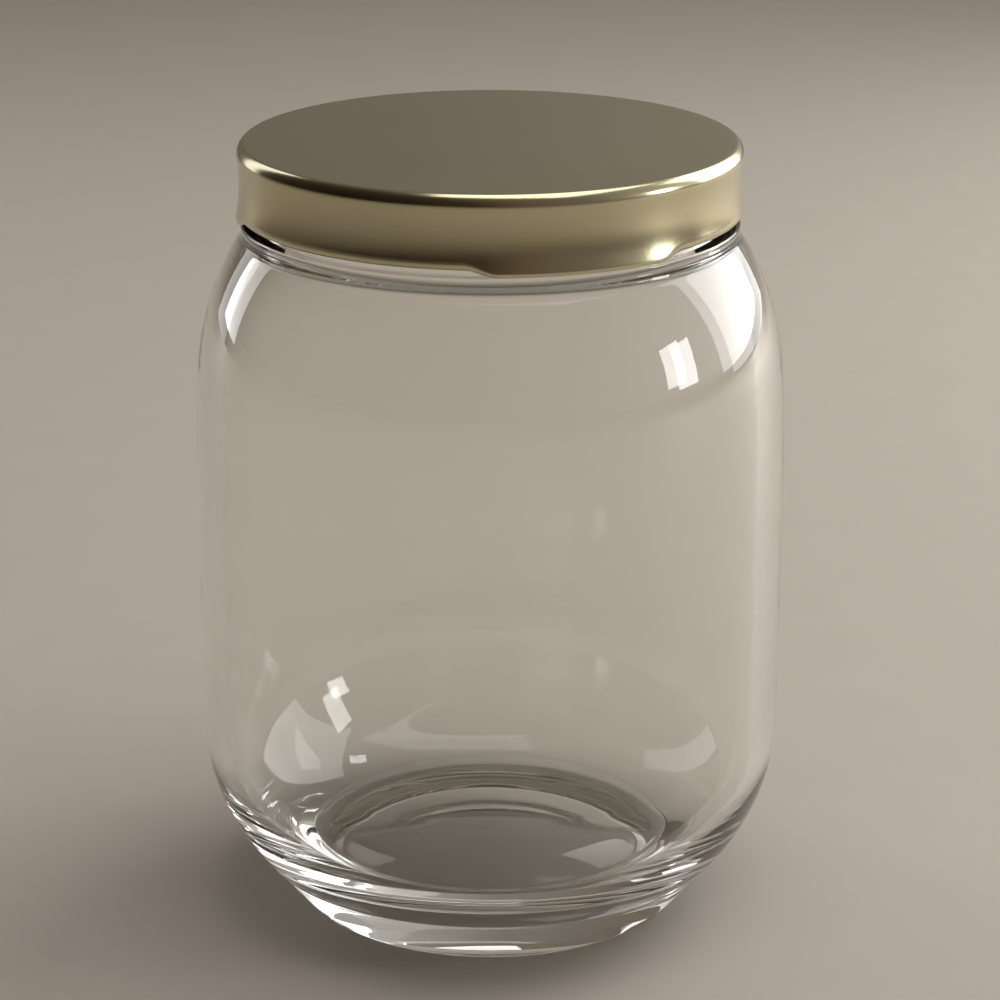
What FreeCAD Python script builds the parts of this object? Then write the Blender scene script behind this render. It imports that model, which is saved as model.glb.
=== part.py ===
"""Glass storage jar with a twist-off lid, as a parametric FreeCAD document.

The jar is one piece of blown glass: a thick foot with a domed underside, a curved heel, an almost
straight wall, a round shoulder, and a neck finish with a bead and three short glass lugs.  The lid
is pressed from thin sheet.  Its hem is curled under, hangs lower in three places, and carries three
lugs of its own that hook below the glass ones.  A sealing ring lies between the rim and the lid.

Millimetres, +Z up.  The origin is the middle of the ring that the jar stands on.
"""
import FreeCAD
import Part
import Sketcher
import math
import os

SIZES = [
    # the glass, outside, from the foot up; every radius starts from the neck, which fits the lid
    ("neck_radius", 39.4, "outside of the neck above the bead"),
    ("shoulder_reach", 11.3, "straight wall out from the neck"),
    ("foot_inset", 18.2, "outer edge of the ring that the jar stands on, in from the wall"),
    ("bearing_width", 2.0, "width of that ring"),
    ("pushup_height", 4.5, "rise of the domed underside"),
    ("heel_corner", 3.0, "small curve from the ring to the heel"),
    ("heel_radius", 36.25, "large curve of the heel"),
    ("heel_lean", 39.75, "lean of the straight stretch between foot and heel, in degrees"),
    ("wall_length", 41.3, "straight part of the wall"),
    ("barrel_radius", 315.0, "slow inward curve above the straight part"),
    ("barrel_rise", 22.6, "height of that slow curve"),
    ("shoulder_rise", 23.25, "height of the round shoulder"),
    ("neck_blend", 2.5, "hollow curve between shoulder and bead"),
    # the glass, inside
    ("glass_wall", 4.5, "thickness of wall and shoulder"),
    ("floor_height", 12.0, "middle of the inside floor above the table"),
    ("floor_crown", 350.0, "radius of the slightly domed floor"),
    ("floor_edge", 2.0, "curve where floor and inner heel meet"),
    ("floor_inset", 14.6, "floor edge in from the inner wall"),
    ("inner_heel", 22.0, "curve from inner wall to floor"),
    # the neck finish
    ("bead_reach", 2.75, "bead below the lid, out from the neck"),
    ("bead_rise", 1.55, "height of the bead"),
    ("bead_round", 0.4, "upper edge of the bead"),
    ("ledge_fillet", 0.8, "hollow curve at the root of the neck"),
    ("neck_rise", 11.9, "neck from the bead to the rim"),
    ("neck_wall", 3.0, "thickness of the neck"),
    ("bore_blend", 4.0, "curve from the mouth into the shoulder"),
    ("rim_round", 0.9, "both edges of the rim"),
    ("glass_lug_depth", 1.35, "how far a glass lug stands out"),
    ("glass_lug_rise", 2.0, "height of a glass lug"),
    ("glass_lug_slope", 0.5, "taper of its upper and lower face"),
    ("glass_lug_span", 50.0, "length of a glass lug, in degrees"),
    # the lid
    ("sheet", 0.3, "thickness of the lacquered sheet"),
    ("skirt_gap", 1.15, "room between glass lugs and skirt"),
    ("edge_radius", 0.8, "tight curve at the edge of the panel"),
    ("edge_turn", 40.0, "how far the tight curve turns, in degrees"),
    ("roll_radius", 2.4, "wider curve below it"),
    ("roll_under", 8.0, "how far that curve turns past upright, in degrees"),
    ("waist_curve", 29.0, "hollow curve of the skirt"),
    ("panel_edge", 3.0, "flat disc of the panel, in from the waist"),
    ("panel_lap", 1.0, "overlap of that disc with the rim of the lid"),
    ("hem_gap", 0.25, "room between hem and bead"),
    ("hem_rise", 1.05, "how much higher the hem is between its tabs"),
    ("tab_curl", 0.65, "curl radius at the low tabs"),
    ("high_curl", 0.95, "curl radius between the tabs"),
    ("tab_span", 38.0, "length of a low tab, in degrees"),
    ("tab_fade", 7.0, "length of the slope at each end of a tab, in degrees"),
    ("tab_turn", -69.5, "angle of the first tab from +X, in degrees"),
    ("lug_count", 3, "tabs, lid lugs and glass lugs"),
    ("lid_lug_thick", 1.2, "height of a lid lug"),
    ("lid_lug_span", 19.0, "length of a lid lug, in degrees"),
    ("lid_lug_gap", 0.6, "room between lid lug and neck"),
    ("lug_clearance", 0.15, "room between lid lug and the glass lug above it"),
    # the sealing ring
    ("seal_thick", 1.25, "thickness between rim and panel"),
    ("seal_lap", 0.5, "how far the ring stands in past the mouth"),
    ("seal_reach", 1.2, "how far it stands out past the neck"),
    ("seal_round", 0.35, "edges of the ring"),
]

doc = FreeCAD.newDocument("glass_jar")
sheet = doc.addObject("Spreadsheet::Sheet", "Sizes")
for row, (alias, value, note) in enumerate(SIZES, start=1):
    sheet.set(f"A{row}", note)
    sheet.set(f"B{row}", str(value))
    sheet.setAlias(f"B{row}", alias)
doc.recompute()

# Heights and radii that follow from the sizes.  Each is written once, as an expression.
BODY = "(Sizes.neck_radius + Sizes.shoulder_reach)"
FOOT = f"({BODY} - Sizes.foot_inset)"
BEAD = "(Sizes.neck_radius + Sizes.bead_reach)"
BORE = "(Sizes.neck_radius - Sizes.neck_wall)"
HEEL_STRETCH = ("((Sizes.foot_inset - Sizes.heel_radius"
                " + (Sizes.heel_radius - Sizes.heel_corner) * cos(Sizes.heel_lean))"
                " / sin(Sizes.heel_lean))")
HEEL = ("(Sizes.heel_corner + (Sizes.heel_radius - Sizes.heel_corner) * sin(Sizes.heel_lean)"
        f" + {HEEL_STRETCH} * cos(Sizes.heel_lean))")
WALL_TOP = f"({HEEL} + Sizes.wall_length)"
SHOULDER = f"({WALL_TOP} + Sizes.barrel_rise)"
NECK = f"({SHOULDER} + Sizes.shoulder_rise)"
BEAD_TOP = f"({NECK} + Sizes.bead_rise)"
RIM = f"({BEAD_TOP} + Sizes.neck_rise)"
PANEL_UNDER = f"({RIM} + Sizes.seal_thick)"
LID_TOP = f"({PANEL_UNDER} + Sizes.sheet)"
INNER_WALL = f"({BODY} - Sizes.glass_wall)"
PUSHUP_RADIUS = f"({FOOT} - Sizes.bearing_width)"
HEM_LOW = f"({BEAD_TOP} + Sizes.hem_gap)"
LUG_MIDDLE = f"({HEM_LOW} + Sizes.hem_rise + Sizes.high_curl)"
LUG_TOP = f"({LUG_MIDDLE} + Sizes.lid_lug_thick / 2)"
GLASS_LUG_UNDER = f"({LUG_TOP} + Sizes.lug_clearance)"
WAIST_RADIUS = "(Sizes.neck_radius + Sizes.glass_lug_depth + Sizes.skirt_gap + Sizes.sheet)"
LUG_TURN = "(Sizes.tab_turn + 180 / Sizes.lug_count)"
PANEL_RADIUS = f"({WAIST_RADIUS} - Sizes.panel_edge)"


def mm(expression):
    """The number that an expression over the sheet gives."""
    return float(sheet.evalExpression(expression))


def size(alias):
    return float(getattr(sheet, alias))


def toward(start, target, distance):
    """The point that lies a distance from start on the way to target."""
    share = distance / math.dist(start, target)
    return (start[0] + share * (target[0] - start[0]), start[1] + share * (target[1] - start[1]))


def polar(centre, radius, angle):
    return (centre[0] + radius * math.cos(angle), centre[1] + radius * math.sin(angle))


class Outline:
    """A closed chain of lines and arcs in one sketch, drawn in the order of travel."""

    def __init__(self, sketch):
        self.sketch = sketch
        self.steps = []

    def line(self, start, end):
        number = self.sketch.addGeometry(Part.LineSegment(flat(start), flat(end)), False)
        self.steps.append((number, 1, 2))
        return number

    def arc(self, centre, start, end, anticlockwise=True):
        first, last = (start, end) if anticlockwise else (end, start)
        begin = math.atan2(first[1] - centre[1], first[0] - centre[0])
        finish = math.atan2(last[1] - centre[1], last[0] - centre[0])
        if finish <= begin:
            finish += 2 * math.pi
        circle = Part.Circle(flat(centre), FreeCAD.Vector(0, 0, 1), math.dist(centre, start))
        number = self.sketch.addGeometry(Part.ArcOfCircle(circle, begin, finish), False)
        self.steps.append((number, 1, 2) if anticlockwise else (number, 2, 1))
        return number

    def join(self, sharp):
        """Ties each step to the next, smoothly unless the next one is listed as sharp."""
        for (one, _, end), (two, start, _) in zip(self.steps, self.steps[1:] + self.steps[:1]):
            kind = "Coincident" if two in sharp else "Tangent"
            self.sketch.addConstraint(Sketcher.Constraint(kind, one, end, two, start))

    def tie(self, kind, *where):
        self.sketch.addConstraint(Sketcher.Constraint(kind, *where))

    def dimension(self, kind, *where, to):
        number = self.sketch.addConstraint(Sketcher.Constraint(kind, *where, mm(to)))
        self.sketch.setExpression(f"Constraints[{number}]", to)

    def start_of(self, number):
        return self.steps[number][:2]

    def end_of(self, number):
        return (self.steps[number][0], self.steps[number][2])


ORIGIN = (-1, 1)
LEVEL = -1
UPRIGHT = -2
CENTRE = 3


def flat(point):
    return FreeCAD.Vector(point[0], point[1], 0)


def new_body(name):
    body = doc.addObject("PartDesign::Body", name)
    body.Label = name
    return body


def origin_part(body, role):
    return next(part for part in body.Origin.OriginFeatures if part.Role == role)


def radial_sketch(body, name, turn=None):
    """A sketch whose x is the radius and y the height, turned about the axis if asked."""
    sketch = body.newObject("Sketcher::SketchObject", name)
    sketch.AttachmentSupport = (origin_part(body, "XZ_Plane"), [""])
    sketch.MapMode = "FlatFace"
    if turn:
        sketch.AttachmentOffset = FreeCAD.Placement(
            FreeCAD.Vector(), FreeCAD.Rotation(FreeCAD.Vector(0, 1, 0), mm(turn)))
        sketch.setExpression("AttachmentOffset.Rotation.Angle", turn)
    return sketch


def spin(body, kind, name, sketch, span=None):
    """Revolves a sketch about the jar's axis, or grooves with it, all round or over a span."""
    feature = body.newObject(f"PartDesign::{kind}", name)
    feature.Profile = sketch
    feature.ReferenceAxis = (sketch, ["V_Axis"])
    feature.Angle = 360
    if span:
        feature.Midplane = True
        feature.setExpression("Angle", span)
    sketch.Visibility = False
    return feature


def repeat_round(body, name, feature):
    """Copies a feature evenly round the axis, once for each lug."""
    pattern = body.newObject("PartDesign::PolarPattern", name)
    pattern.Originals = [feature]
    pattern.Axis = (origin_part(body, "Z_Axis"), [""])
    pattern.Angle = 360
    pattern.setExpression("Occurrences", "Sizes.lug_count")
    body.Tip = pattern
    return pattern


def shared_tangent(low, low_radius, high, high_radius):
    """Where the line outside two circles, below and to the right of them, touches each."""
    between = math.atan2(high[1] - low[1], high[0] - low[0])
    spread = math.acos((low_radius - high_radius) / math.dist(low, high))
    normal = between - spread
    return polar(low, low_radius, normal), polar(high, high_radius, normal)


def shoulder_arc():
    """Lean at its start, centre, radius and both ends of the arc from the wall to the neck."""
    barrel = (mm(BODY) - size("barrel_radius"), mm(WALL_TOP))
    lean = math.asin(size("barrel_rise") / size("barrel_radius"))
    start = polar(barrel, size("barrel_radius"), lean)
    blend = (mm(BEAD) + size("neck_blend"), mm(NECK))
    across, along = start[0] - blend[0], start[1] - blend[1]
    outward = across * math.cos(lean) + along * math.sin(lean)
    reach = across ** 2 + along ** 2 - size("neck_blend") ** 2
    radius = reach / (2 * (outward + size("neck_blend")))
    centre = polar(start, -radius, lean)
    return barrel, lean, centre, radius, start, blend, toward(centre, blend, radius)


def jar_section(body):
    """The glass as one section, spun round: underside, outside, rim, inside and floor."""
    sketch = radial_sketch(body, "glass_section")
    chain = Outline(sketch)

    # underside, foot and heel
    foot, corner = mm(FOOT), size("heel_corner")
    pushup_radius, pushup = mm(PUSHUP_RADIUS), size("pushup_height")
    dome = (0, pushup - (pushup_radius ** 2 + pushup ** 2) / (2 * pushup))
    wall = mm(BODY)
    heel = (wall - size("heel_radius"), mm(HEEL))
    low, high = shared_tangent((foot, corner), corner, heel, size("heel_radius"))
    dome_arc = chain.arc(dome, (0, pushup), (pushup_radius, 0), anticlockwise=False)
    bearing = chain.line((pushup_radius, 0), (foot, 0))
    corner_arc = chain.arc((foot, corner), (foot, 0), low)
    chain.line(low, high)
    heel_arc = chain.arc(heel, high, (wall, heel[1]))

    # wall and shoulder, outside
    barrel, lean, shoulder, shoulder_radius, shoulder_start, blend, shoulder_end = shoulder_arc()
    wall_line = chain.line((wall, heel[1]), (wall, barrel[1]))
    barrel_arc = chain.arc(barrel, (wall, barrel[1]), shoulder_start)
    shoulder_line = chain.arc(shoulder, shoulder_start, shoulder_end)

    # bead, neck and rim
    bead, bead_top, bead_round = mm(BEAD), mm(BEAD_TOP), size("bead_round")
    neck, fillet = size("neck_radius"), size("ledge_fillet")
    rim, rim_round, bore = mm(RIM), size("rim_round"), mm(BORE)
    blend_arc = chain.arc(blend, shoulder_end, (bead, blend[1]), anticlockwise=False)
    bead_line = chain.line((bead, blend[1]), (bead, bead_top - bead_round))
    bead_arc = chain.arc((bead - bead_round, bead_top - bead_round),
                         (bead, bead_top - bead_round), (bead - bead_round, bead_top))
    ledge = chain.line((bead - bead_round, bead_top), (neck + fillet, bead_top))
    fillet_arc = chain.arc((neck + fillet, bead_top + fillet), (neck + fillet, bead_top),
                           (neck, bead_top + fillet), anticlockwise=False)
    neck_line = chain.line((neck, bead_top + fillet), (neck, rim - rim_round))
    outer_rim = chain.arc((neck - rim_round, rim - rim_round), (neck, rim - rim_round),
                          (neck - rim_round, rim))
    land = chain.line((neck - rim_round, rim), (bore + rim_round, rim))
    inner_rim = chain.arc((bore + rim_round, rim - rim_round), (bore + rim_round, rim),
                          (bore, rim - rim_round))

    # mouth, shoulder and wall, inside
    inner_wall, inner_shoulder = mm(INNER_WALL), shoulder_radius - size("glass_wall")
    bore_blend = size("bore_blend")
    mouth_rise = math.sqrt((inner_shoulder + bore_blend) ** 2
                           - (bore + bore_blend - shoulder[0]) ** 2)
    mouth = (bore + bore_blend, shoulder[1] + mouth_rise)
    mouth_end = toward(mouth, shoulder, bore_blend)
    inner_start = polar(shoulder, inner_shoulder, lean)
    bore_line = chain.line((bore, rim - rim_round), (bore, mouth[1]))
    mouth_arc = chain.arc(mouth, (bore, mouth[1]), mouth_end)
    shoulder_inside = chain.arc(shoulder, mouth_end, inner_start, anticlockwise=False)
    barrel_inside = chain.arc(barrel, inner_start, (inner_wall, barrel[1]), anticlockwise=False)

    # inner heel and floor
    crown = (0, size("floor_height") - size("floor_crown"))
    edge_radius = inner_wall - size("floor_inset")
    edge_reach = size("floor_crown") + size("floor_edge")
    edge = (edge_radius, crown[1] + math.sqrt(edge_reach ** 2 - edge_radius ** 2))
    inner_heel = size("inner_heel")
    heel_rise = math.sqrt((inner_heel - size("floor_edge")) ** 2
                          - (edge[0] - inner_wall + inner_heel) ** 2)
    heel_inside = (inner_wall - inner_heel, edge[1] + heel_rise)
    heel_end = toward(heel_inside, edge, inner_heel)
    floor_start = toward(crown, edge, size("floor_crown"))
    inner_line = chain.line((inner_wall, barrel[1]), (inner_wall, heel_inside[1]))
    inner_heel_arc = chain.arc(heel_inside, (inner_wall, heel_inside[1]), heel_end,
                               anticlockwise=False)
    edge_arc = chain.arc(edge, heel_end, floor_start, anticlockwise=False)
    floor_arc = chain.arc(crown, floor_start, (0, size("floor_height")))
    axis = chain.line((0, size("floor_height")), (0, pushup))

    chain.join(sharp=(dome_arc, bearing, axis))
    for line in (bearing, ledge, land):
        chain.tie("Horizontal", line)
    for line in (wall_line, bead_line, neck_line, bore_line, inner_line, axis):
        chain.tie("Vertical", line)
    for point in (chain.start_of(dome_arc), (dome_arc, CENTRE), (floor_arc, CENTRE)):
        chain.tie("PointOnObject", *point, UPRIGHT)
    chain.tie("PointOnObject", *chain.start_of(bearing), LEVEL)
    chain.tie("Coincident", shoulder_line, CENTRE, shoulder_inside, CENTRE)
    chain.tie("Coincident", barrel_arc, CENTRE, barrel_inside, CENTRE)
    for point, across in ((chain.start_of(bearing), PUSHUP_RADIUS),
                          (chain.end_of(bearing), FOOT), (chain.start_of(wall_line), BODY),
                          (chain.start_of(bead_line), BEAD),
                          (chain.start_of(neck_line), "Sizes.neck_radius"),
                          (chain.start_of(bore_line), BORE),
                          (chain.start_of(inner_line), INNER_WALL),
                          ((edge_arc, CENTRE), f"({INNER_WALL} - Sizes.floor_inset)")):
        chain.dimension("DistanceX", *ORIGIN, *point, to=across)
    for point, height in ((chain.start_of(dome_arc), "Sizes.pushup_height"),
                          (chain.start_of(wall_line), HEEL),
                          (chain.end_of(wall_line), WALL_TOP),
                          (chain.end_of(barrel_arc), SHOULDER),
                          (chain.start_of(bead_line), NECK), (chain.start_of(ledge), BEAD_TOP),
                          (chain.start_of(land), RIM),
                          (chain.start_of(axis), "Sizes.floor_height")):
        chain.dimension("DistanceY", *ORIGIN, *point, to=height)
    for arc, radius in ((corner_arc, "heel_corner"), (heel_arc, "heel_radius"),
                        (barrel_arc, "barrel_radius"), (blend_arc, "neck_blend"),
                        (bead_arc, "bead_round"), (fillet_arc, "ledge_fillet"),
                        (outer_rim, "rim_round"), (inner_rim, "rim_round"),
                        (mouth_arc, "bore_blend"), (inner_heel_arc, "inner_heel"),
                        (edge_arc, "floor_edge"), (floor_arc, "floor_crown")):
        chain.dimension("Radius", arc, to=f"Sizes.{radius}")
    return spin(body, "Revolution", "glass", sketch)


def glass_lugs(body):
    """Three short lugs round the neck, each tapered, for the lid's lugs to hook under."""
    sketch = radial_sketch(body, "glass_lug_section", LUG_TURN)
    chain = Outline(sketch)
    root = size("neck_radius") - size("ledge_fillet")
    tip = size("neck_radius") + size("glass_lug_depth")
    under, slope = mm(GLASS_LUG_UNDER), size("glass_lug_slope")
    top = under + size("glass_lug_rise")
    lower = chain.line((root, under), (tip, under + slope))
    front = chain.line((tip, under + slope), (tip, top - slope))
    upper = chain.line((tip, top - slope), (root, top))
    back = chain.line((root, top), (root, under))
    chain.join(sharp=(lower, front, upper, back))
    chain.tie("Vertical", front)
    chain.tie("Vertical", back)
    chain.dimension("DistanceX", *ORIGIN, *chain.start_of(lower),
                    to="(Sizes.neck_radius - Sizes.ledge_fillet)")
    chain.dimension("DistanceX", *ORIGIN, *chain.start_of(front),
                    to="(Sizes.neck_radius + Sizes.glass_lug_depth)")
    for point, height in ((chain.start_of(lower), GLASS_LUG_UNDER),
                          (chain.start_of(front), f"({GLASS_LUG_UNDER} + Sizes.glass_lug_slope)"),
                          (chain.start_of(back), f"({GLASS_LUG_UNDER} + Sizes.glass_lug_rise)"),
                          (chain.start_of(upper), f"({GLASS_LUG_UNDER} + Sizes.glass_lug_rise"
                                                  " - Sizes.glass_lug_slope)")):
        chain.dimension("DistanceY", *ORIGIN, *point, to=height)
    lug = spin(body, "Revolution", "glass_lug", sketch, span="Sizes.glass_lug_span")
    return repeat_round(body, "glass_lug_ring", lug)


def hem_height(angle):
    """How far the hem is raised at an angle: 0 in the middle of a tab, 1 between the tabs."""
    pitch = 360 / size("lug_count")
    from_tab = abs((angle - size("tab_turn") + pitch / 2) % pitch - pitch / 2)
    share = (from_tab - size("tab_span") / 2) / size("tab_fade")
    share = min(max(share, 0), 1)
    return share * share * (3 - 2 * share)


def lid_section(angle):
    """The pressed sheet cut at one angle: panel, edge, roll, hollow skirt and curled hem."""
    thick, waist = size("sheet"), size("waist_curve")
    edge, roll = size("edge_radius"), size("roll_radius")
    turned, under = math.radians(90 - size("edge_turn")), math.radians(size("roll_under"))
    top, upright = mm(LID_TOP), math.pi / 2
    hollow_across = mm(WAIST_RADIUS) + waist
    roll_across = hollow_across - (waist + roll) * math.cos(under)
    edge_centre = (roll_across + (roll - edge) * math.cos(turned), top - edge)
    roll_centre = (roll_across, edge_centre[1] - (roll - edge) * math.sin(turned))
    hollow = (hollow_across, roll_centre[1] - (waist + roll) * math.sin(under))

    # the curl is a bead that touches the skirt, smaller and lower at the tabs
    raised = hem_height(angle)
    curl = size("tab_curl") + raised * (size("high_curl") - size("tab_curl"))
    curl_height = mm(HEM_LOW) + raised * size("hem_rise") + curl
    reach, inner = waist + curl, waist + thick
    lean = math.asin((hollow[1] - curl_height) / reach)
    bead = polar(hollow, reach, math.pi + lean)
    closing = math.acos((reach ** 2 + inner ** 2 - curl ** 2) / (2 * reach * inner))
    inside = polar(hollow, inner, math.pi + lean - closing)
    tucked = math.atan2(inside[1] - bead[1], inside[0] - bead[0]) - 2 * math.pi

    spun = math.radians(angle)

    def place(point):
        return FreeCAD.Vector(point[0] * math.cos(spun), point[0] * math.sin(spun), point[1])

    def bow(centre, radius, first, last):
        turns = (first, (first + last) / 2, last)
        return Part.Arc(*(place(polar(centre, radius, turn)) for turn in turns)).toShape()

    def straight(start, end):
        return Part.LineSegment(place(start), place(end)).toShape()

    start = mm(PANEL_RADIUS) - size("panel_lap")
    third = (tucked - lean) / 3
    return Part.Wire([
        straight((start, top), (edge_centre[0], top)),
        bow(edge_centre, edge, upright, turned),
        bow(roll_centre, roll, turned, -under),
        bow(hollow, waist, math.pi - under, math.pi + lean),
        bow(bead, curl, lean, lean + third),
        bow(bead, curl, lean + third, lean + 2 * third),
        bow(bead, curl, lean + 2 * third, tucked),
        bow(hollow, inner, math.pi + lean - closing, math.pi - under),
        bow(roll_centre, roll - thick, -under, turned),
        bow(edge_centre, edge - thick, turned, upright),
        straight((edge_centre[0], top - thick), (start, top - thick)),
        straight((start, top - thick), (start, top)),
    ])


def lid_sector(begin, span):
    """A stretch of the lid whose hem keeps one height: its section spun about the axis."""
    face = Part.Face(lid_section(begin + span / 2))
    face.rotate(FreeCAD.Vector(), FreeCAD.Vector(0, 0, 1), -span / 2)
    return face.revolve(FreeCAD.Vector(), FreeCAD.Vector(0, 0, 1), span)


def lid_fade(begin, span):
    """A slope of the hem beside a tab: a loft through sections close together."""
    steps = 4
    sections = [lid_section(begin + span * step / steps) for step in range(steps + 1)]
    return Part.makeLoft(sections, True)


def lid_ring():
    """Edge, skirt and waved hem of the lid: low tab, slope, high stretch, slope, and again."""
    ring = doc.addObject("Part::Feature", "lid_ring")
    tab, fade, pitch = size("tab_span"), size("tab_fade"), 360 / size("lug_count")
    pieces = []
    for turn in range(int(size("lug_count"))):
        here = size("tab_turn") - tab / 2 + turn * pitch
        pieces += [lid_sector(here, tab), lid_fade(here + tab, fade),
                   lid_sector(here + tab + fade, pitch - tab - 2 * fade),
                   lid_fade(here + pitch - fade, fade)]
    ring.Shape = pieces[0].multiFuse(pieces[1:]).removeSplitter()
    return ring


def lid_panel():
    panel = doc.addObject("Part::Cylinder", "lid_panel")
    panel.setExpression("Radius", PANEL_RADIUS)
    panel.setExpression("Height", "Sizes.sheet")
    panel.setExpression("Placement.Base.z", PANEL_UNDER)
    return panel


def rounded_section(body, name, left, right, bottom, top, corner, turn=None):
    """A rectangle with four rounded corners; every size is an expression."""
    sketch = radial_sketch(body, name, turn)
    chain = Outline(sketch)
    x0, x1, y0, y1, curve = (mm(value) for value in (left, right, bottom, top, corner))
    corners = [((x1 - curve, y0 + curve), (x1 - curve, y0), (x1, y0 + curve)),
               ((x1 - curve, y1 - curve), (x1, y1 - curve), (x1 - curve, y1)),
               ((x0 + curve, y1 - curve), (x0 + curve, y1), (x0, y1 - curve)),
               ((x0 + curve, y0 + curve), (x0, y0 + curve), (x0 + curve, y0))]
    here, sides, arcs = corners[-1][2], [], []
    for centre, start, end in corners:
        sides.append(chain.line(here, start))
        arcs.append(chain.arc(centre, start, end))
        here = end
    chain.join(sharp=())
    for side in sides[0::2]:
        chain.tie("Horizontal", side)
    for side in sides[1::2]:
        chain.tie("Vertical", side)
    for arc in arcs[1:]:
        chain.tie("Equal", arcs[0], arc)
    chain.dimension("Radius", arcs[0], to=corner)
    chain.dimension("DistanceX", *ORIGIN, *chain.start_of(sides[3]), to=left)
    chain.dimension("DistanceX", *ORIGIN, *chain.start_of(sides[1]), to=right)
    chain.dimension("DistanceY", *ORIGIN, *chain.start_of(sides[0]), to=bottom)
    chain.dimension("DistanceY", *ORIGIN, *chain.start_of(sides[2]), to=top)
    return sketch


def lid_lugs():
    """Three lugs that stand in from the curled hem, below the glass ones."""
    body = new_body("lid_lugs")
    section = rounded_section(body, "lid_lug_section",
                              "(Sizes.neck_radius + Sizes.lid_lug_gap)",
                              f"({WAIST_RADIUS} - Sizes.high_curl / 2)",
                              f"({LUG_TOP} - Sizes.lid_lug_thick)", LUG_TOP,
                              "(Sizes.lid_lug_thick / 4)", LUG_TURN)
    lug = spin(body, "Revolution", "lid_lug", section, span="Sizes.lid_lug_span")
    repeat_round(body, "lid_lug_ring", lug)
    return body


def make_jar():
    body = new_body("jar")
    jar_section(body)
    glass_lugs(body)
    return body


def make_lid():
    lid = doc.addObject("Part::MultiFuse", "lid")
    lid.Shapes = [lid_ring(), lid_panel(), lid_lugs()]
    lid.Label = "lid"
    return lid


def make_seal():
    body = new_body("seal_ring")
    section = rounded_section(body, "seal_section",
                              f"({BORE} - Sizes.seal_lap)",
                              "(Sizes.neck_radius + Sizes.seal_reach)",
                              RIM, PANEL_UNDER, "Sizes.seal_round")
    spin(body, "Revolution", "seal", section)
    return body


def check_document():
    """Stops before anything is written if an object failed or a sketch is loose."""
    for item in doc.Objects:
        bad = {"Invalid", "Error"} & set(item.State)
        if bad:
            raise RuntimeError(f"{item.Name} is {bad}")
        if item.isDerivedFrom("Sketcher::SketchObject") and item.solve() != 0:
            raise RuntimeError(f"{item.Name} does not solve")


def write_nodes(nodes):
    os.makedirs("parts", exist_ok=True)
    for node in nodes:
        shape = node.Shape
        if shape.isNull() or not shape.isValid() or len(shape.Solids) != 1:
            raise RuntimeError(f"{node.Label} has no single valid solid")
    for node in nodes:
        node.Shape.exportStep(f"parts/{node.Label}.step")
        box = node.Shape.BoundBox
        print(f"{node.Label}: {node.Shape.Volume / 1000:.2f} cm3, "
              f"x {box.XMin:.2f} to {box.XMax:.2f}, z {box.ZMin:.2f} to {box.ZMax:.2f}")


nodes = [make_jar(), make_lid(), make_seal()]
doc.recompute()
check_document()
write_nodes(nodes)
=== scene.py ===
"""Looks of an empty glass storage jar with a lacquered twist-off lid.

Outlines are drawn in millimetres in the plane y = 0, with x as the radius and z as the height.
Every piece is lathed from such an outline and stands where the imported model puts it.
"""
import bpy
import math
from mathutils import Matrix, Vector


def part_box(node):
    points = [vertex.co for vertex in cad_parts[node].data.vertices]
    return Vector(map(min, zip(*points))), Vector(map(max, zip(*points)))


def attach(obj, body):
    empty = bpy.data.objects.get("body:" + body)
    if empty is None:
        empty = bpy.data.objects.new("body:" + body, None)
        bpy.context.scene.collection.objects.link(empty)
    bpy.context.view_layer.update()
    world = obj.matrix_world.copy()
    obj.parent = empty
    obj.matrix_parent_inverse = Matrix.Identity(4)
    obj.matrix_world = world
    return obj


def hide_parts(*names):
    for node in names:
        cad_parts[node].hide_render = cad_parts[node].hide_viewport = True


MM = 0.001

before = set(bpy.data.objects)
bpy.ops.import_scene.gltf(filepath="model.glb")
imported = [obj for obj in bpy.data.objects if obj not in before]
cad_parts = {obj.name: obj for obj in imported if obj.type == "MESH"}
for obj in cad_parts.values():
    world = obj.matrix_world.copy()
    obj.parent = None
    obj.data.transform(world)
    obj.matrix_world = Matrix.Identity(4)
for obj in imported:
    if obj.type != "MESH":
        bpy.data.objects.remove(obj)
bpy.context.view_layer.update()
bpy.ops.object.select_all(action="DESELECT")

jar_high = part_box("jar")[1] / MM
lid_low, lid_high = (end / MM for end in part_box("lid"))
seal_low, seal_high = (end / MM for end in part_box("seal_ring"))

# ---- how finely the outlines are cut, with lengths in millimetres ----
TURNS = 256
LONGEST_STEP = 2.0
SAME_POINT = 1e-4
SAME_VERTEX = 0.001
BAR_EDGE_STEPS = 5
LID_LUG_TURNS = 8

# ---- sizes of the glass in millimetres, worked out from the imported model where it gives them ----
BODY = jar_high.y
RIM = jar_high.z
NECK_INSET = 11.3
NECK_RADIUS = BODY - NECK_INSET
FOOT_INSET = 18.2
FOOT = BODY - FOOT_INSET
BEARING_WIDTH = 2.0
PUSHUP_HEIGHT = 4.5
HEEL_CORNER = 3.0
HEEL_RADIUS = 36.25
HEEL_LEAN = 39.75
BARREL_RADIUS = 315.0
BARREL_RISE = 22.6
SHOULDER_RISE = 23.25
NECK_BLEND = 2.5
GLASS_WALL = 4.5
FLOOR_HEIGHT = 12.0
FLOOR_CROWN = 350.0
FLOOR_EDGE = 2.0
FLOOR_INSET = 14.6
INNER_HEEL = 22.0
BEAD_OVERHANG = 2.75
BEAD_RADIUS = NECK_RADIUS + BEAD_OVERHANG
BEAD_RISE = 1.55
BEAD_ROUND = 0.4
LEDGE_FILLET = 0.8
NECK_RISE = 11.9
NECK_WALL = 3.0
BORE_RADIUS = NECK_RADIUS - NECK_WALL
BORE_BLEND = 4.0
RIM_ROUND = 0.9
BEAD_TOP = RIM - NECK_RISE
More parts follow.
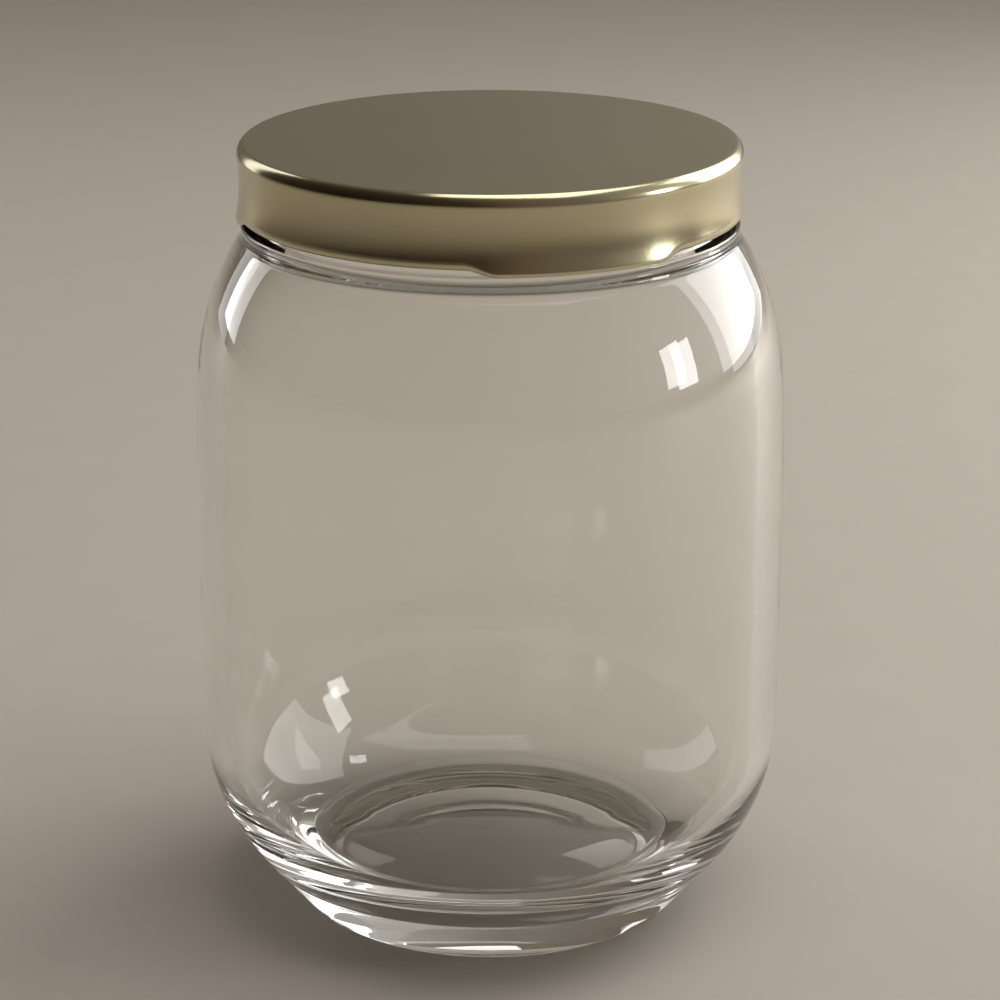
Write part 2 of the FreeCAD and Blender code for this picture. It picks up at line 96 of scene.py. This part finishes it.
NECK = BEAD_TOP - BEAD_RISE
SHOULDER = NECK - SHOULDER_RISE
WALL_TOP = SHOULDER - BARREL_RISE

# ---- sizes of the lid ----
LID_TOP = lid_high.z
HEM_LOW = lid_low.z
SHEET = 0.3
EDGE_RADIUS = 0.8
EDGE_TURN = 40.0
ROLL_RADIUS = 2.4
ROLL_UNDER = 8.0
WAIST_CURVE = 29.0
WAIST_CLEARANCE = 2.8
WAIST_RADIUS = NECK_RADIUS + WAIST_CLEARANCE
HEM_RISE = 1.05
TAB_CURL = 0.65
HIGH_CURL = 0.95
TAB_SPAN = 38.0
TAB_FADE = 7.0
TAB_TURN = -69.5

# ---- sizes of the lugs on lid and glass, and of the sealing ring ----
LUG_COUNT = 3
LUG_PITCH = 360 / LUG_COUNT
LUG_TURN = TAB_TURN + LUG_PITCH / 2
LUG_CLEARANCE = 0.34
LID_LUG_SPAN = 19.0
LID_LUG_THICK = 1.2
LID_LUG_GAP = 0.6
LID_LUG_ROUND = 0.3
LID_LUG_INSET = 0.475
LID_LUG_OUTER = WAIST_RADIUS - LID_LUG_INSET
LID_LUG_TOP = HEM_LOW + HEM_RISE + HIGH_CURL + LID_LUG_THICK / 2
GLASS_LUG_DEPTH = 1.35
GLASS_LUG_RISE = 1.62
GLASS_LUG_SLOPE = 0.31
GLASS_LUG_SPAN = 50.0
GLASS_LUG_LOW = LID_LUG_TOP + LUG_CLEARANCE
GLASS_LUG_HIGH = GLASS_LUG_LOW + GLASS_LUG_RISE
NECK_SEARCH = 0.05
SEAL_OVERHANG = 0.5
SEAL_ROUND = 0.35

# ---- the studio: sensor and lens in millimetres, places in metres, the camera's dip in degrees ----
SENSOR = 36.0
LENS = 112.02
LENS_SHIFT = 0.0097
CAMERA_PLACE = (0, -0.5130, 0.2452)
CAMERA_DIP = 18.71
NEAREST = 0.01
BOARD_RADIUS = 4.0
BOARD_SIDES = 96
BRIGHT_SIDE = (0.9, 0.42, 0.1)
# the room's colours from its dim side, at 0, to its bright side, at 1
ROOM = (
    (0.0, "#1c1712"),
    (0.25, "#3a2f25"),
    (0.42, "#65594d"),
    (0.7, "#7a756d"),
    (0.85, "#a5a098"),
    (1.0, "#cfccc6"),
)
# name, place, width, height and watts
LAMPS = (
    ("window_back_right", (0.62, 0.45, 0.38), 0.66, 0.72, 3.8),
    ("window_back_left", (-0.60, 0.56, 0.38), 0.24, 0.72, 0.8),
    ("window_right", (0.79, -0.14, 0.21), 0.14, 0.20, 0.9),
    ("ceiling", (0.2, -0.05, 1.1), 0.9, 0.9, 4.4),
)
BOUNCES = 32
MIRROR_BOUNCES = 16


# ---- outlines ----
def arc(centre, radius, begin, finish, steps):
    """A stretch of outline round a centre, from one angle to another in degrees, cut into steps."""
    return centre, radius, begin, finish, steps


def corner(x, z):
    """A sharp point of an outline: an arc without size or steps."""
    return (x, z), 0.0, 0.0, 0.0, 0


def on_arc(centre, radius, angle):
    """The point of an arc at an angle in degrees."""
    turned = math.radians(angle)
    return centre[0] + radius * math.cos(turned), centre[1] + radius * math.sin(turned)


def direction(start, end):
    """Angle in degrees from one point to another."""
    return math.degrees(math.atan2(end[1] - start[1], end[0] - start[0]))


def extrude_to(here, there):
    """Carries the selected point along a straight line, in steps of limited length."""
    steps = max(1, math.ceil(math.dist(here, there) / LONGEST_STEP))
    shift = ((there[0] - here[0]) * MM / steps, 0, (there[1] - here[1]) * MM / steps)
    for _ in range(steps):
        bpy.ops.mesh.extrude_region_move(TRANSFORM_OT_translate={"value": shift})


def lathe(name, outline, sweep=360.0, turns=TURNS):
    """Draws an outline from a single point, by extrusion and spins, and spins it round the axis.

    The seam and the poles are still open, so two lathed pieces with like outlines match point by point.
    """
    centre, radius, begin, _, _ = outline[0]
    here = on_arc(centre, radius, begin)
    bpy.ops.mesh.primitive_plane_add(size=MM, location=(here[0] * MM, 0, here[1] * MM))
    piece = bpy.context.object
    piece.name = name
    piece.data.name = name
    bpy.ops.object.transform_apply(location=True)
    bpy.ops.object.mode_set(mode="EDIT")
    bpy.ops.mesh.merge(type="CENTER")
    for centre, radius, begin, finish, steps in outline:
        start = on_arc(centre, radius, begin)
        if math.dist(here, start) > SAME_POINT:
            extrude_to(here, start)
        if steps:
            bpy.ops.mesh.spin(steps=steps, angle=math.radians(finish - begin),
                              center=(centre[0] * MM, 0, centre[1] * MM), axis=(0, 1, 0))
        here = on_arc(centre, radius, finish)
    bpy.ops.mesh.select_all(action="SELECT")
    bpy.ops.mesh.spin(steps=turns, angle=math.radians(sweep), center=(0, 0, 0), axis=(0, 0, 1),
                      use_auto_merge=False)
    bpy.ops.object.mode_set(mode="OBJECT")
    bpy.ops.object.select_all(action="DESELECT")
    return piece


def close(piece):
    """Merges the seam and the poles, fills open ends, and points every face outwards."""
    bpy.context.view_layer.objects.active = piece
    bpy.ops.object.mode_set(mode="EDIT")
    bpy.ops.mesh.select_all(action="SELECT")
    bpy.ops.mesh.remove_doubles(threshold=SAME_VERTEX * MM)
    bpy.ops.mesh.fill_holes(sides=0)
    bpy.ops.mesh.select_all(action="SELECT")
    bpy.ops.mesh.normals_make_consistent(inside=False)
    bpy.ops.mesh.select_all(action="DESELECT")
    bpy.ops.object.mode_set(mode="OBJECT")
    return piece


def lug_angle(angle, turn):
    """Degrees from an angle to the nearest of the evenly spaced places that start at turn."""
    return abs((angle - turn + LUG_PITCH / 2) % LUG_PITCH - LUG_PITCH / 2)


# ---- the glass ----
def glass_outline():
    """Underside, heel, wall, shoulder, bead, neck and rim, and back down inside to the floor."""
    pushup_radius = FOOT - BEARING_WIDTH
    dome_radius = (pushup_radius ** 2 + PUSHUP_HEIGHT ** 2) / (2 * PUSHUP_HEIGHT)
    dome = (0, PUSHUP_HEIGHT - dome_radius)
    dome_end = direction(dome, (pushup_radius, 0))

    lean = math.radians(HEEL_LEAN)
    reach = HEEL_RADIUS - HEEL_CORNER
    stretch = (BODY - FOOT - HEEL_RADIUS + reach * math.cos(lean)) / math.sin(lean)
    heel = (BODY - HEEL_RADIUS, HEEL_CORNER + reach * math.sin(lean) + stretch * math.cos(lean))

    barrel = (BODY - BARREL_RADIUS, WALL_TOP)
    tilt = math.asin(BARREL_RISE / BARREL_RADIUS)
    tilted = math.degrees(tilt)
    start = on_arc(barrel, BARREL_RADIUS, tilted)
    blend = (BEAD_RADIUS + NECK_BLEND, NECK)
    across, along = start[0] - blend[0], start[1] - blend[1]
    outward = across * math.cos(tilt) + along * math.sin(tilt)
    shoulder_radius = ((across ** 2 + along ** 2 - NECK_BLEND ** 2)
                       / (2 * (outward + NECK_BLEND)))
    shoulder = on_arc(start, -shoulder_radius, tilted)
    shoulder_end = direction(shoulder, blend)

    inner_wall = BODY - GLASS_WALL
    inner_shoulder = shoulder_radius - GLASS_WALL
    mouth_across = BORE_RADIUS + BORE_BLEND - shoulder[0]
    mouth = (BORE_RADIUS + BORE_BLEND, shoulder[1] + math.sqrt(
        (inner_shoulder + BORE_BLEND) ** 2 - mouth_across ** 2))
    mouth_end = direction(shoulder, mouth)

    edge_radius = inner_wall - FLOOR_INSET
    crown = (0, FLOOR_HEIGHT - FLOOR_CROWN)
    edge = (edge_radius, crown[1] + math.sqrt(
        (FLOOR_CROWN + FLOOR_EDGE) ** 2 - edge_radius ** 2))
    inner_heel_x = inner_wall - INNER_HEEL
    inner_heel = (inner_heel_x, edge[1] + math.sqrt(
        (INNER_HEEL - FLOOR_EDGE) ** 2 - (edge[0] - inner_heel_x) ** 2))
    heel_end = direction(inner_heel, edge)
    crown_start = direction(crown, edge)

    return [
        arc(dome, dome_radius, 90, dome_end, 24),
        arc((FOOT, HEEL_CORNER), HEEL_CORNER, -90, -HEEL_LEAN, 10),
        arc(heel, HEEL_RADIUS, -HEEL_LEAN, 0, 28),
        arc(barrel, BARREL_RADIUS, 0, tilted, 12),
        arc(shoulder, shoulder_radius, tilted, shoulder_end, 36),
        arc(blend, NECK_BLEND, shoulder_end - 180, -180, 8),
        arc((BEAD_RADIUS - BEAD_ROUND, BEAD_TOP - BEAD_ROUND), BEAD_ROUND, 0, 90, 5),
        arc((NECK_RADIUS + LEDGE_FILLET, BEAD_TOP + LEDGE_FILLET), LEDGE_FILLET, 270, 180, 5),
        corner(NECK_RADIUS, GLASS_LUG_LOW),
        corner(NECK_RADIUS, GLASS_LUG_LOW + GLASS_LUG_SLOPE),
        corner(NECK_RADIUS, GLASS_LUG_HIGH - GLASS_LUG_SLOPE),
        corner(NECK_RADIUS, GLASS_LUG_HIGH),
        arc((NECK_RADIUS - RIM_ROUND, RIM - RIM_ROUND), RIM_ROUND, 0, 90, 6),
        arc((BORE_RADIUS + RIM_ROUND, RIM - RIM_ROUND), RIM_ROUND, 90, 180, 6),
        arc(mouth, BORE_BLEND, 180, mouth_end + 180, 8),
        arc(shoulder, inner_shoulder, mouth_end, tilted, 32),
        arc(barrel, BARREL_RADIUS - GLASS_WALL, tilted, 0, 12),
        arc(inner_heel, INNER_HEEL, 0, heel_end, 28),
        arc(edge, FLOOR_EDGE, heel_end, crown_start - 180, 8),
        arc(crown, FLOOR_CROWN, crown_start, 90, 20),
    ]


def raise_glass_lugs(jar):
    """Draws the three lugs out of the neck by scaling the faces between their upper and lower edge."""
    low = GLASS_LUG_LOW + GLASS_LUG_SLOPE - NECK_SEARCH
    high = GLASS_LUG_HIGH - GLASS_LUG_SLOPE + NECK_SEARCH
    for vertex in jar.data.vertices:
        x, y, z = vertex.co / MM
        on_neck = abs(math.hypot(x, y) - NECK_RADIUS) < NECK_SEARCH and low < z < high
        vertex.select = (on_neck and lug_angle(math.degrees(math.atan2(y, x)), LUG_TURN)
                         <= GLASS_LUG_SPAN / 2)
    bpy.context.view_layer.objects.active = jar
    jar.select_set(True)
    bpy.ops.object.mode_set(mode="EDIT")
    bpy.ops.mesh.select_mode(type="VERT")
    out = 1 + GLASS_LUG_DEPTH / NECK_RADIUS
    bpy.ops.transform.resize(value=(out, out, 1), center_override=(0, 0, 0))
    bpy.ops.object.mode_set(mode="OBJECT")
    bpy.ops.object.select_all(action="DESELECT")


# ---- the lid ----
def lid_outline(raised):
    """The pressed sheet in section; raised is 0 at a low tab of the hem and 1 between the tabs."""
    turned, under = 90 - EDGE_TURN, ROLL_UNDER
    hollow_x = WAIST_RADIUS + WAIST_CURVE
    roll_x = hollow_x - (WAIST_CURVE + ROLL_RADIUS) * math.cos(math.radians(under))
    gap = ROLL_RADIUS - EDGE_RADIUS
    edge = (roll_x + gap * math.cos(math.radians(turned)), LID_TOP - EDGE_RADIUS)
    roll = (roll_x, edge[1] - gap * math.sin(math.radians(turned)))
    hollow = (hollow_x, roll[1] - (WAIST_CURVE + ROLL_RADIUS) * math.sin(math.radians(under)))

    curl = TAB_CURL + raised * (HIGH_CURL - TAB_CURL)
    curl_height = HEM_LOW + raised * HEM_RISE + curl
    reach, inner = WAIST_CURVE + curl, WAIST_CURVE + SHEET
    lean = math.degrees(math.asin((hollow[1] - curl_height) / reach))
    bead = on_arc(hollow, reach, 180 + lean)
    closing = math.degrees(math.acos((reach ** 2 + inner ** 2 - curl ** 2) / (2 * reach * inner)))
    tucked = direction(bead, on_arc(hollow, inner, 180 + lean - closing)) - 360
    return [
        corner(0, LID_TOP),
        arc(edge, EDGE_RADIUS, 90, turned, 6),
        arc(roll, ROLL_RADIUS, turned, -under, 10),
        arc(hollow, WAIST_CURVE, 180 - under, 180 + lean, 16),
        arc(bead, curl, lean, tucked, 20),
        arc(hollow, inner, 180 + lean - closing, 180 - under, 12),
        arc(roll, ROLL_RADIUS - SHEET, -under, turned, 8),
        arc(edge, EDGE_RADIUS - SHEET, turned, 90, 5),
        corner(0, LID_TOP - SHEET),
    ]


def bar_outline(inner, outer, low, high, rounding):
    """A bar in section, with its four edges rounded."""
    left, right, bottom, top = inner + rounding, outer - rounding, low + rounding, high - rounding
    edges = ((left, bottom, 180), (right, bottom, -90), (right, top, 0), (left, top, 90))
    rounded = [arc((x, z), rounding, begin, begin + 90, BAR_EDGE_STEPS) for x, z, begin in edges]
    return rounded + [corner(inner, bottom)]


# ---- materials ----
def linear(hex_colour):
    """An sRGB hex colour as the linear values that a shader takes."""
    values = [int(hex_colour[i:i + 2], 16) / 255 for i in (1, 3, 5)]
    return [v / 12.92 if v <= 0.04045 else ((v + 0.055) / 1.055) ** 2.4 for v in values] + [1.0]


def add(tree, kind, settings=None, **inputs):
    """Adds a node; inputs named with spaces as underscores are numbers, colours or sockets to link."""
    node = tree.nodes.new(kind)
    for name, value in (settings or {}).items():
        setattr(node, name, value)
    for name, value in inputs.items():
        socket = node.inputs[int(name[1:])] if name[1:].isdigit() else node.inputs[name.replace("_", " ")]
        if isinstance(value, bpy.types.NodeSocket):
            tree.links.new(value, socket)
        else:
            socket.default_value = value
    return node


def cells(width):
    """The scale at which a pattern's cells are as wide as given, in millimetres."""
    return 1 / (width * MM)


def new_material(name):
    """A material without nodes, and its node tree."""
    material = bpy.data.materials.new(name)
    material.use_nodes = True
    material.node_tree.nodes.clear()
    return material, material.node_tree


def finish_material(tree, shader):
    """Puts a shader on the surface."""
    add(tree, "ShaderNodeOutputMaterial", Surface=shader.outputs[0])


def flint_glass():
    """Clear to the eye, with the faint long waves that blowing leaves in the wall."""
    material, tree = new_material("soda-lime glass, blown and fire-polished")
    place = add(tree, "ShaderNodeTexCoord").outputs["Object"]
    # blown glass cools a little thick and thin, in patches somewhat wider than a finger
    waves = add(tree, "ShaderNodeTexNoise", Vector=place, Scale=cells(22.2), Detail=1.0)
    bump = add(tree, "ShaderNodeBump", Height=waves.outputs["Fac"], Strength=0.06, Distance=0.001)
    # a trace of iron shows as the palest grey where the glass is thick
    tint = add(tree, "ShaderNodeMixRGB", Fac=waves.outputs["Fac"], Color1=linear("#fcfcfa"),
               Color2=linear("#fdfdfb"))
    shader = add(tree, "ShaderNodeBsdfPrincipled", Base_Color=tint.outputs[0],
                 Transmission_Weight=1.0, IOR=1.52, Roughness=0.0, Normal=bump.outputs["Normal"])
    finish_material(tree, shader)
    return material


def gold_lacquer():
    """Satin metal seen through a pale gold stoving lacquer: soft reflections with a fine tooth."""
    material, tree = new_material("tinplate, drawn and coated with gold lacquer")
    place = add(tree, "ShaderNodeTexCoord").outputs["Object"]
    # the rolling grain of the sheet runs one way, in lines about 0.3 mm apart and 7 mm long
    long, fine = cells(6.67), cells(0.333)
    stretched = add(tree, "ShaderNodeMapping", Vector=place, Scale=(long, fine, long))
    grain = add(tree, "ShaderNodeTexNoise", Vector=stretched.outputs["Vector"], Scale=1.0, Detail=2.0)
    # the lacquer dries with a slight orange peel, in cells of about 1 mm
    peel = add(tree, "ShaderNodeTexNoise", Vector=place, Scale=cells(1.11), Detail=1.0)
    # and flows a little thicker in clouds some 20 mm wide, which shows as deeper gold
    clouds = add(tree, "ShaderNodeTexNoise", Vector=place, Scale=cells(20.0), Detail=2.0)
    colour = add(tree, "ShaderNodeMixRGB", Fac=clouds.outputs["Fac"], Color1=linear("#d5ceb0"),
                 Color2=linear("#cec5a3"))
    rough = add(tree, "ShaderNodeMapRange", Value=grain.outputs["Fac"], To_Min=0.15, To_Max=0.21)
    bump = add(tree, "ShaderNodeBump", Height=peel.outputs["Fac"], Strength=0.05, Distance=0.0001)
    shader = add(tree, "ShaderNodeBsdfPrincipled", Base_Color=colour.outputs[0], Metallic=1.0,
                 Roughness=rough.outputs["Result"], Normal=bump.outputs["Normal"])
    finish_material(tree, shader)
    return material


def sealing_compound():
    """Pale rubbery plastic, spun into the lid wet: dull, with small pits from the foaming agent."""
    material, tree = new_material("sealing compound, spun in and baked")
    place = add(tree, "ShaderNodeTexCoord").outputs["Object"]
    # the pits are 0.6 mm apart, and the compound is a little uneven over 4 to 5 mm
    pits = add(tree, "ShaderNodeTexVoronoi", Vector=place, Scale=cells(0.625))
    cloud = add(tree, "ShaderNodeTexNoise", Vector=place, Scale=cells(4.55), Detail=2.0)
    colour = add(tree, "ShaderNodeMixRGB", Fac=cloud.outputs["Fac"], Color1=linear("#dcd7ca"),
                 Color2=linear("#cdc7b8"))
    rough = add(tree, "ShaderNodeMapRange", Value=cloud.outputs["Fac"], To_Min=0.4, To_Max=0.6)
    bump = add(tree, "ShaderNodeBump", Height=pits.outputs["Distance"], Strength=0.3, Distance=0.0001)
    shader = add(tree, "ShaderNodeBsdfPrincipled", Base_Color=colour.outputs[0],
                 Roughness=rough.outputs["Result"], Normal=bump.outputs["Normal"])
    finish_material(tree, shader)
    return material


# ---- pieces ----
def dress(piece, material, node):
    """Gives a piece its material and smooth faces, hangs it under the root body and hides the node it
    stands for.
    """
    piece.data.materials.append(material)
    for polygon in piece.data.polygons:
        polygon.use_smooth = True
    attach(piece, "root")
    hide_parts(node)


def hem_height(angle):
    """How far the hem is raised at an angle: 0 along a tab, 1 between the tabs."""
    share = (lug_angle(angle, TAB_TURN) - TAB_SPAN / 2) / TAB_FADE
    share = min(max(share, 0), 1)
    return share * share * (3 - 2 * share)


def make_lid():
    """Two lathed lids, one with the hem low and one with it raised, mixed by the angle."""
    lid = lathe("twist_off_lid", lid_outline(raised=0))
    raised = lathe("raised_hem", lid_outline(raised=1))
    group = lid.vertex_groups.new(name="between the tabs")
    for vertex in lid.data.vertices:
        angle = math.degrees(math.atan2(vertex.co.y, vertex.co.x))
        group.add([vertex.index], hem_height(angle), "REPLACE")
    raised.select_set(True)
    lid.select_set(True)
    bpy.context.view_layer.objects.active = lid
    bpy.ops.object.join_shapes()
    key = lid.data.shape_keys.key_blocks[-1]
    key.vertex_group = group.name
    key.value = 1
    lid.active_shape_key_index = 1
    bpy.ops.object.shape_key_remove(all=True, apply_mix=True)
    lid.vertex_groups.clear()
    bpy.data.objects.remove(raised)
    lugs = [make_lid_lug(LUG_TURN + turn * LUG_PITCH) for turn in range(LUG_COUNT)]
    bpy.ops.object.select_all(action="DESELECT")
    for piece in lugs + [lid]:
        piece.select_set(True)
    bpy.context.view_layer.objects.active = lid
    bpy.ops.object.join()
    bpy.ops.object.select_all(action="DESELECT")
    return close(lid)


def make_lid_lug(turn):
    """A lug pressed in from the hem, which hooks below the glass one when the lid is turned."""
    lug = lathe("lid_lug", bar_outline(NECK_RADIUS + LID_LUG_GAP, LID_LUG_OUTER,
                                       LID_LUG_TOP - LID_LUG_THICK, LID_LUG_TOP, LID_LUG_ROUND),
                sweep=LID_LUG_SPAN, turns=LID_LUG_TURNS)
    lug.rotation_euler.z = math.radians(turn + LID_LUG_SPAN / 2)
    lug.select_set(True)
    bpy.context.view_layer.objects.active = lug
    bpy.ops.object.transform_apply(rotation=True)
    bpy.ops.object.select_all(action="DESELECT")
    return close(lug)


def make_seal():
    """The ring of compound, from a little inside the bore out to the roll of the lid."""
    outline = bar_outline(BORE_RADIUS - SEAL_OVERHANG, seal_high.y, seal_low.z, seal_high.z, SEAL_ROUND)
    return close(lathe("sealing_ring", outline))


jar = close(lathe("glass_body", glass_outline()))
raise_glass_lugs(jar)
dress(jar, flint_glass(), "jar")
dress(make_lid(), gold_lacquer(), "lid")
dress(make_seal(), sealing_compound(), "seal_ring")


# ---- studio ----
def make_floor():
    """A wide round board under the jar."""
    bpy.ops.mesh.primitive_circle_add(vertices=BOARD_SIDES, radius=BOARD_RADIUS, fill_type="NGON")
    floor = bpy.context.object
    floor.name = "floor"
    floor.data.name = "floor"
    material, tree = new_material("pale matt board")
    place = add(tree, "ShaderNodeTexCoord").outputs["Object"]
    # the board's colour is a little uneven, in patches of about 17 mm
    mottle = add(tree, "ShaderNodeTexNoise", Vector=place, Scale=cells(16.7))
    colour = add(tree, "ShaderNodeMixRGB", Fac=mottle.outputs["Fac"], Color1=linear("#c4bbb0"),
                 Color2=linear("#c8bfb4"))
    finish_material(tree, add(tree, "ShaderNodeBsdfPrincipled", Base_Color=colour.outputs[0],
                              Roughness=0.7))
    floor.data.materials.append(material)
    bpy.ops.object.select_all(action="DESELECT")


def softbox(name, place, width, height, watts):
    """A soft rectangular lamp that faces the middle of the jar."""
    middle = Vector((0, 0, LID_TOP * MM / 2))
    light = bpy.data.lights.new(name, "AREA")
    light.shape = "RECTANGLE"
    light.size, light.size_y, light.energy = width, height, watts
    lamp = bpy.data.objects.new(name, light)
    lamp.location = place
    lamp.rotation_euler = (middle - Vector(place)).to_track_quat("-Z", "Y").to_euler()
    bpy.context.scene.collection.objects.link(lamp)


def make_world():
    """A room that is dim on the left and bright on the right and behind, where its windows are."""
    world = bpy.data.worlds.new("studio")
    bpy.context.scene.world = world
    world.use_nodes = True
    tree = world.node_tree
    tree.nodes.clear()
    way = add(tree, "ShaderNodeTexCoord").outputs["Generated"]
    across = add(tree, "ShaderNodeVectorMath", {"operation": "DOT_PRODUCT"}, i0=way, i1=BRIGHT_SIDE)
    share = add(tree, "ShaderNodeMapRange", Value=across.outputs["Value"], From_Min=-1.0, From_Max=1.0)
    ramp = add(tree, "ShaderNodeValToRGB", Fac=share.outputs["Result"])
    stops = ramp.color_ramp.elements
    stops[0].color, stops[-1].color = linear(ROOM[0][1]), linear(ROOM[-1][1])
    for position, colour in ROOM[1:-1]:
        stops.new(position).color = linear(colour)
    background = add(tree, "ShaderNodeBackground", Color=ramp.outputs["Color"], Strength=1.0)
    add(tree, "ShaderNodeOutputWorld", Surface=background.outputs[0])


def make_camera():
    """A long lens a little above the lid, looking down at the jar from the front."""
    camera = bpy.data.cameras.new("camera")
    camera.sensor_width = SENSOR
    camera.lens = LENS
    camera.shift_x = LENS_SHIFT
    camera.clip_start = NEAREST
    seat = bpy.data.objects.new("camera", camera)
    seat.location = CAMERA_PLACE
    seat.rotation_euler = (math.radians(90 - CAMERA_DIP), 0, 0)
    bpy.context.scene.collection.objects.link(seat)
    bpy.context.scene.camera = seat


make_floor()
make_world()
for lamp in LAMPS:
    softbox(*lamp)
make_camera()

# light crosses the wall, the neck and the underside of the lid many times before it reaches the eye
paths = bpy.context.scene.cycles
paths.max_bounces = paths.transmission_bounces = BOUNCES
paths.glossy_bounces = MIRROR_BOUNCES

bpy.context.scene.view_settings.view_transform = "Standard"
